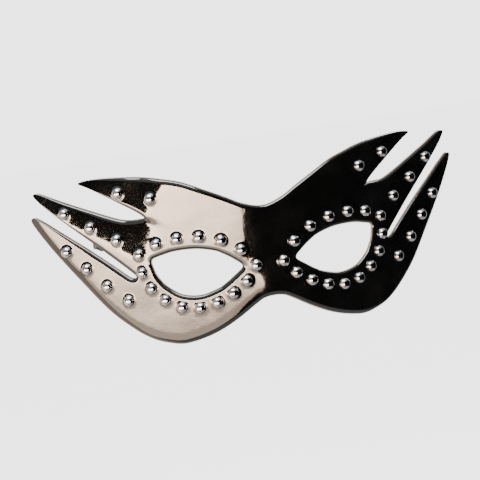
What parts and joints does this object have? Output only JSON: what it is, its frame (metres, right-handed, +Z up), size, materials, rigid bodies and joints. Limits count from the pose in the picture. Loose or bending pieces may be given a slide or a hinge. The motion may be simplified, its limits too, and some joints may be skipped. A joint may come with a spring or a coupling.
{
  "type": "studded leather eye mask",
  "caption": "Patent leather eye mask with winged, notched spikes at both sides, almond eye openings, rows of dome studs and an elastic strap round the head.",
  "frame": {"origin": "inner face of the nose bridge in the middle, level with the eyes' nose ends", "axes": "front faces -Y, +X to the viewer's right across the mask, +Z up"},
  "size_m": [0.2302, 0.201, 0.0901],
  "materials": {
    "patent_leather": "black patent, high gloss, with a bare cut edge",
    "chrome_studs": "polished dome studs",
    "elastic": "black woven elastic"
  },
  "bodies": {
    "root": {"mask_body": "patent_leather", "ring_stud_left_01": "chrome_studs", "ring_stud_left_02": "chrome_studs", "ring_stud_left_03": "chrome_studs", "ring_stud_left_04": "chrome_studs", "ring_stud_left_05": "chrome_studs", "ring_stud_left_06": "chrome_studs", "ring_stud_left_07": "chrome_studs", "ring_stud_left_08": "chrome_studs", "ring_stud_left_09": "chrome_studs", "ring_stud_left_10": "chrome_studs", "ring_stud_left_11": "chrome_studs", "ring_stud_left_12": "chrome_studs", "ring_stud_left_13": "chrome_studs", "ring_stud_left_14": "chrome_studs", "ring_stud_left_15": "chrome_studs", "ring_stud_right_01": "chrome_studs", "ring_stud_right_02": "chrome_studs", "ring_stud_right_03": "chrome_studs", "ring_stud_right_04": "chrome_studs", "ring_stud_right_05": "chrome_studs", "ring_stud_right_06": "chrome_studs", "ring_stud_right_07": "chrome_studs", "ring_stud_right_08": "chrome_studs", "ring_stud_right_09": "chrome_studs", "ring_stud_right_10": "chrome_studs", "ring_stud_right_11": "chrome_studs", "ring_stud_right_12": "chrome_studs", "ring_stud_right_13": "chrome_studs", "ring_stud_right_14": "chrome_studs", "ring_stud_right_15": "chrome_studs", "spike_stud_left_1": "chrome_studs", "spike_stud_left_2": "chrome_studs", "spike_stud_left_3": "chrome_studs", "spike_stud_left_4": "chrome_studs", "spike_stud_left_5": "chrome_studs", "spike_stud_left_6": "chrome_studs", "spike_stud_left_7": "chrome_studs", "spike_stud_left_8": "chrome_studs", "spike_stud_left_9": "chrome_studs", "spike_stud_right_1": "chrome_studs", "spike_stud_right_2": "chrome_studs", "spike_stud_right_3": "chrome_studs", "spike_stud_right_4": "chrome_studs", "spike_stud_right_5": "chrome_studs", "spike_stud_right_6": "chrome_studs", "spike_stud_right_7": "chrome_studs", "spike_stud_right_8": "chrome_studs", "spike_stud_right_9": "chrome_studs", "strap": "elastic"}
  },
  "joints": []
}
